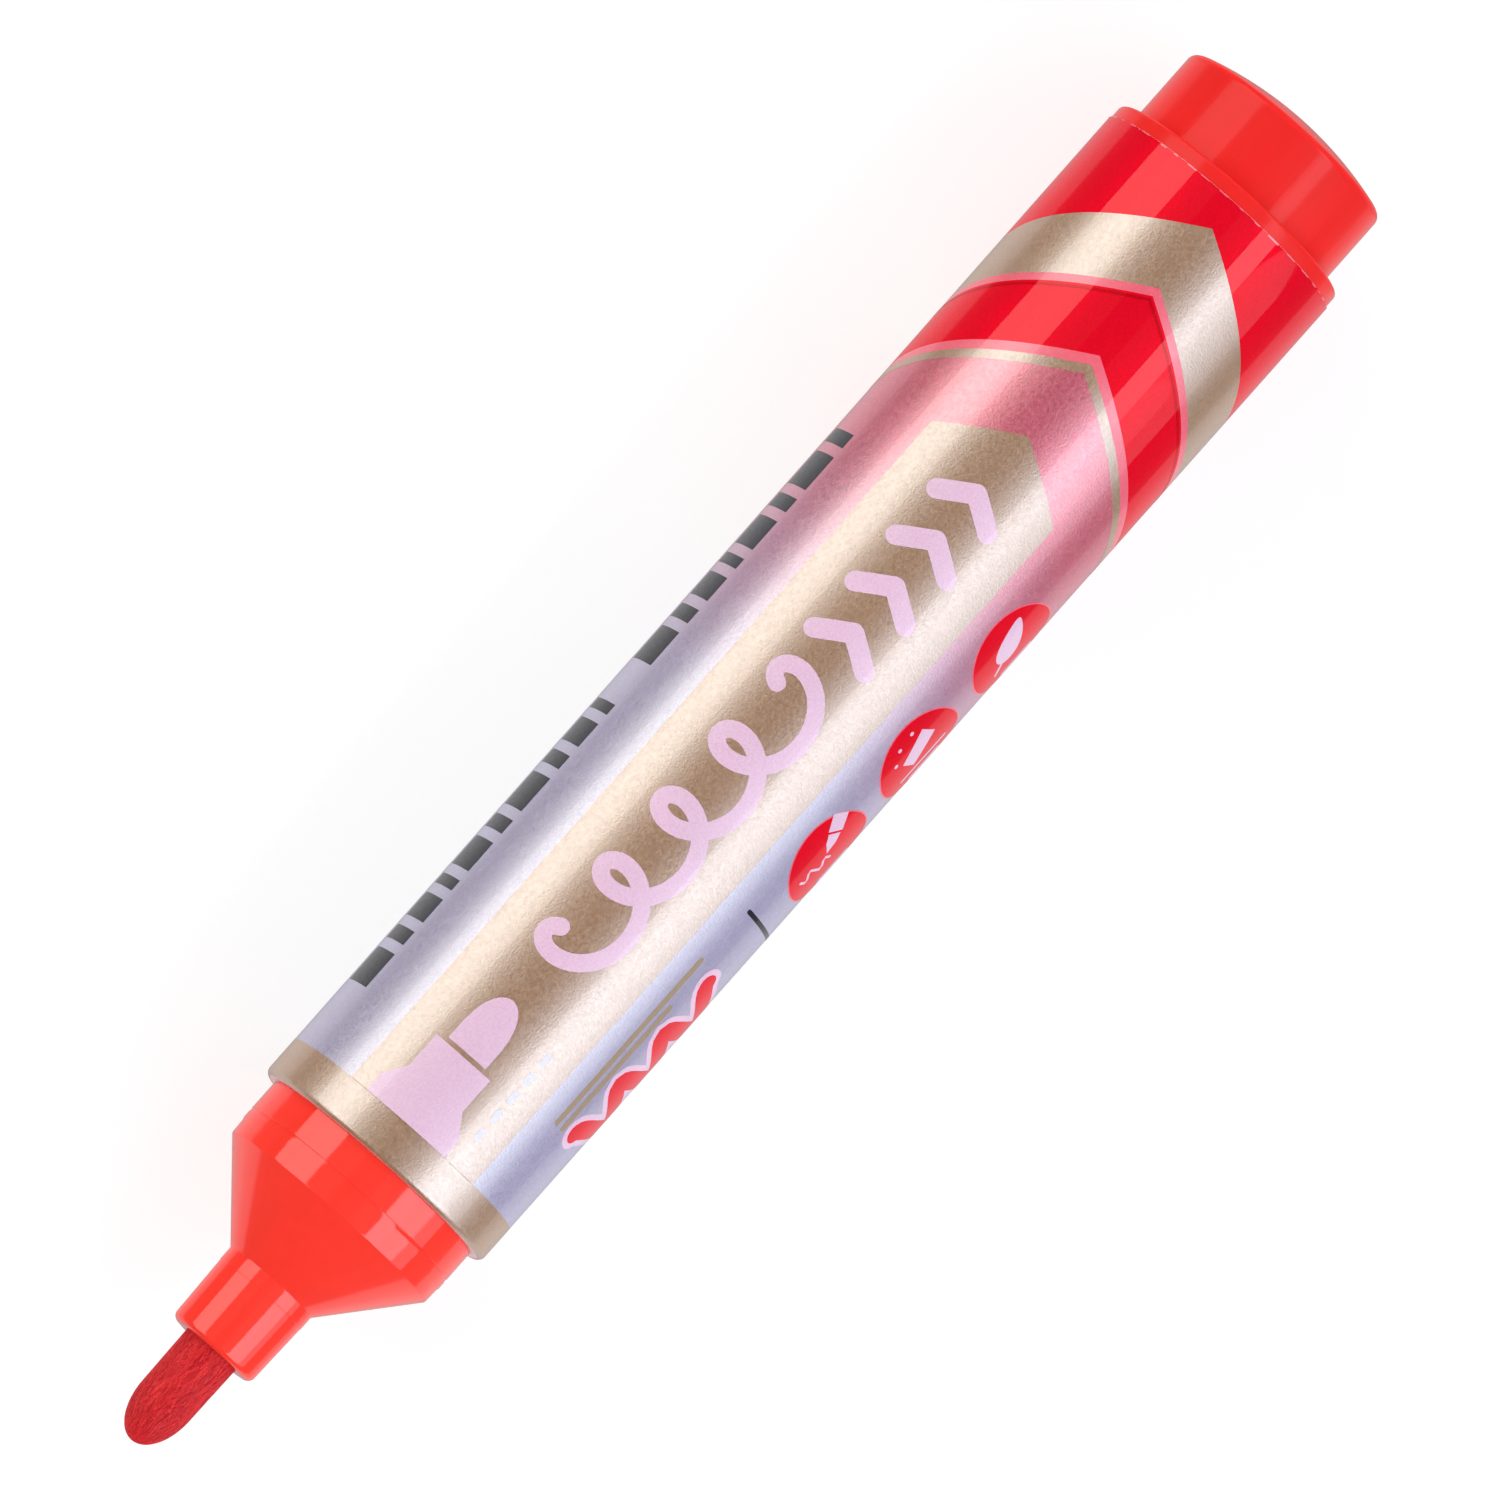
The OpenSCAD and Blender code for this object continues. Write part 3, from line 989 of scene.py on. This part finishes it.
def cut_flecks():
    """Short pale nicks along the film's cut rear end."""
    rng = np.random.default_rng(5)
    flecks = []
    s = -LABEL_HALF + 0.5
    while s < LABEL_HALF - 2:
        length = rng.uniform(0.15, 1.1)
        depth = rng.uniform(0.05, 0.11)
        flecks.append(box_area(FILM_END_X - depth, FILM_END_X - 0.005, s, s + length))
        s += length + rng.uniform(0.15, 1.3)
    return flecks


def build_label():
    """The printed film: base foil and one thin shell for each colour of print."""
    red = printed("ink_red", (0.86, 0.0035, 0.020), 1.5, 0.42, metallic=0.25, gloss=0.0)
    dark_red = printed("ink_dark_red", (0.62, 0.002, 0.012), 1.5, 0.42, metallic=0.25, gloss=0.0)
    pink = printed("ink_pink", (0.92, 0.10, 0.16), 2.2, 0.40)
    pale = printed("ink_pale_pink", (0.82, 0.53, 0.71), 2.1, 0.42)
    white = printed("ink_white", (0.62, 0.56, 0.62), 2.8, 0.42)
    black = printed("ink_black", (0.016, 0.014, 0.022), 1.5, 0.42, gloss=0.2)
    ochre = printed("ink_ochre", (0.38, 0.27, 0.17), 1.6, 0.42)

    discs = [circle(x, DISC_S, DISC_R) for x in DISC_X]
    rims = [circle(x, DISC_S, DISC_R + 0.12) for x in DISC_X]
    wave = Stroke(wave_line(), 1.7)
    wave_rim = Stroke(wave_line(), 2.7)
    front_ring = film_ring(FRONT_RING_X, BASE_T - 0.002, BASE_T + INK_T)
    golds = [front_ring, ink(gold_art(), 1)]
    reds = [ink([chevron(73.9, 79.4), red_field()], 1), ink([*discs, wave], 2)]
    dark_reds = [ink([chevron(78.95, 79.2)], 2)]
    pinks = [ink([chevron(73.07, 73.9), chevron(79.4, 80.1), *rims], 1), ink(cut_flecks(), 2)]
    pales = [ink([*pictogram(), scribble(), *arrows()], 2), ink([wave_rim], 1), ink(disc_icons(), 3)]
    ochres = [ink([rounded_bar(9.9, 25.2, 8.05, 0.5), rounded_bar(9.9, 21.4, 8.95, 0.5)], 1)]
    whites = [ink([rounded_bar(x, x + 1.15, 3.75, 0.55) for x in np.arange(5.2, 13, 1.7)], 2)]
    blacks = [ink(black_art(), 1)]

    base = make_object("label_base", *film_ring(FILM_END_X, 0.0, BASE_T), base_foil())
    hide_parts("label_film")
    pieces = [
        base,
        make_object("print_gold", *joined(golds), gold_foil()),
        make_object("print_red", *joined(reds), red),
        make_object("print_red_line", *joined(dark_reds), dark_red),
        make_object("print_pink", *joined(pinks), pink),
        make_object("print_pale", *joined(pales), pale),
        make_object("print_ochre", *joined(ochres), ochre),
        make_object("print_white", *joined(whites), white),
        make_object("print_black", *joined(blacks), black),
    ]
    for piece in pieces:
        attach(piece, "barrel_body")


# ---------------------------------------------------------------- scene

def build_mouldings():
    """The nozzle, plug and nib, which stand for their CAD nodes."""
    nozzle = build_nozzle(moulded("red_plastic_gloss", (0.98, 0.044, 0.028), 1.58, 0.05, 0.7))
    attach(nozzle, "nozzle_body")
    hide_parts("nozzle")
    plug = build_plug(moulded("red_plastic_satin", (0.78, 0.021, 0.019), 1.28, 0.14, 3.0))
    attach(plug, "plug_body")
    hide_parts("rear_plug")
    nib = build_nib(nib_fibre())
    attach(nib, "nib_body")
    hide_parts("nib")


def dress_cad_nodes():
    """Materials of the CAD pieces that stay as they are."""
    finishes = {
        "barrel": white_plastic(),
        "reservoir_core": reservoir_fibre(),
        "reservoir_wrap": reservoir_film(),
    }
    for node, material in finishes.items():
        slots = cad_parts[node].data.materials
        slots.clear()
        slots.append(material)


def area_light(name, length, width, place, turn, radiance):
    """A rectangular light that the camera doesn't see, and sends its light along its own -Z."""
    light = bpy.data.lights.new(name, "AREA")
    light.shape = "RECTANGLE"
    light.size = length
    light.size_y = width
    light.energy = radiance * math.pi * length * width
    obj = bpy.data.objects.new(name, light)
    bpy.context.scene.collection.objects.link(obj)
    obj.location = place
    obj.rotation_mode = "QUATERNION"
    obj.rotation_quaternion = turn
    obj.visible_camera = False
    return obj


def softbox(name, low, high, radiance, side, start=-0.9, end=0.95, distance=0.85):
    """A long light parallel to the marker, between two angles from straight up.

    Side 1 is the slightly warmer light above the marker in the picture, -1 the cooler one below it.
    """
    middle = math.radians((low + high) / 2)
    width = 2 * distance * math.tan(math.radians((high - low) / 2))
    across = Vector((1, 0, 0))
    back = Vector((0, side * math.sin(middle), math.cos(middle)))
    up = back.cross(across)
    place = Vector(((start + end) / 2, 0, 0)) + back * distance
    turn = Matrix((across, up, back)).transposed().to_quaternion()
    obj = area_light(name, end - start, width, place, turn, radiance)
    obj.data.color = WARM if side > 0 else COOL
    return obj


def build_lights():
    """Softboxes that the glossy surfaces show as bands, and fill lights that they don't show."""
    softbox("softbox_upper", 38, 62, 2.35, 1)
    softbox("softbox_upper_edge", 62, 78, 2.2, 1)
    softbox("softbox_lower", 33, 50, 2.9, -1)
    softbox("softbox_lower_edge", 50, 85, 1.1, -1, end=0.204)
    for k in range(3):
        # each a little longer than the last and nearer, so that the band fades at its rear end
        name, end, distance = f"softbox_lower_front_{k}", 0.15 + 0.015 * k, 0.84 - 0.01 * k
        softbox(name, 50, 70, 0.55, -1, end=end, distance=distance)
    softbox("softbox_upper_inner", 14, 38, 0.14, 1)
    softbox("softbox_lower_inner", 12, 33, 0.14, -1)
    behind = Vector((0.95, 0, 0.1))
    fills = [
        softbox("fill_lower", 0, 48, 0.72, -1, distance=0.8),
        softbox("fill_upper", 0, 48, 0.26, 1, distance=0.8),
        area_light("fill_rear", 0.6, 0.2, behind, behind.to_track_quat("Z", "Y"), REAR_RADIANCE),
    ]
    for fill in fills:
        fill.visible_glossy = False


def build_world():
    """Grey surroundings for reflections, by height and dimmer behind the marker. The camera sees white."""
    world = bpy.data.worlds.new("studio")
    world.use_nodes = True
    bpy.context.scene.world = world
    nodes, link = world.node_tree.nodes, world.node_tree.links.new

    direction = nodes.new("ShaderNodeSeparateXYZ")
    link(nodes.new("ShaderNodeTexCoord").outputs["Generated"], direction.inputs[0])

    height = nodes.new("ShaderNodeMapRange")
    height.inputs["From Min"].default_value = -1
    link(direction.outputs["Z"], height.inputs["Value"])
    by_height = nodes.new("ShaderNodeValToRGB")
    link(height.outputs["Result"], by_height.inputs["Fac"])
    ramp = by_height.color_ramp.elements
    while len(ramp) < len(WORLD_LEVELS):
        ramp.new(0.5)
    for element, (position, level) in zip(ramp, WORLD_LEVELS):
        element.position = position
        element.color = (level, level, level, 1)

    behind = nodes.new("ShaderNodeMapRange")
    behind.inputs["From Min"].default_value = 0.15
    behind.inputs["From Max"].default_value = 0.24
    behind.inputs["To Min"].default_value = 1.0
    behind.inputs["To Max"].default_value = 0.6
    link(direction.outputs["X"], behind.inputs["Value"])
    dimmed = nodes.new("ShaderNodeMix")
    dimmed.data_type = "RGBA"
    dimmed.blend_type = "MULTIPLY"
    dimmed.inputs["Factor"].default_value = 1.0
    link(by_height.outputs["Color"], dimmed.inputs[6])
    link(behind.outputs["Result"], dimmed.inputs[7])

    seen = nodes.new("ShaderNodeMix")
    seen.data_type = "RGBA"
    link(nodes.new("ShaderNodeLightPath").outputs["Is Camera Ray"], seen.inputs["Factor"])
    link(dimmed.outputs[2], seen.inputs[6])
    seen.inputs[7].default_value = (0.95, 0.95, 0.95, 1)
    link(seen.outputs[2], nodes["Background"].inputs["Color"])


def build_floor():
    """A plain pale table just under the marker."""
    half, z = 5000.0, cad_box[0].z / MM - 0.02
    verts = [(-half, -half, z), (half, -half, z), (half, half, z), (-half, half, z)]
    floor = make_object("table", verts, [[0, 1, 2, 3]], None, floor_paint())
    floor.visible_glossy = False


def build_camera():
    """A long lens almost straight above, tilted so that the nib's end is nearer."""
    tilt, turn, roll = math.radians(5.9), math.radians(2.5), math.radians(48.47)
    distance = 1.545
    back = Vector((-math.sin(tilt), math.cos(tilt) * math.sin(turn), math.cos(tilt) * math.cos(turn)))
    along = Vector((1, 0, 0))
    along = (along - back * along.dot(back)).normalized()
    across = back.cross(along)
    right = along * math.cos(roll) - across * math.sin(roll)
    up = along * math.sin(roll) + across * math.cos(roll)
    data = bpy.data.cameras.new("camera")
    data.sensor_width = 36
    data.lens = 540
    data.clip_end = 20
    camera = bpy.data.objects.new("camera", data)
    bpy.context.scene.collection.objects.link(camera)
    camera.rotation_mode = "QUATERNION"
    camera.rotation_quaternion = Matrix((right, up, back)).transposed().to_quaternion()
    camera.location = Vector((0.0387, -0.0004, 0)) + back * distance
    bpy.context.scene.camera = camera


build_camera()
build_lights()
build_world()
build_floor()
build_mouldings()
build_label()
dress_cad_nodes()
bpy.context.scene.view_settings.view_transform = "Standard"
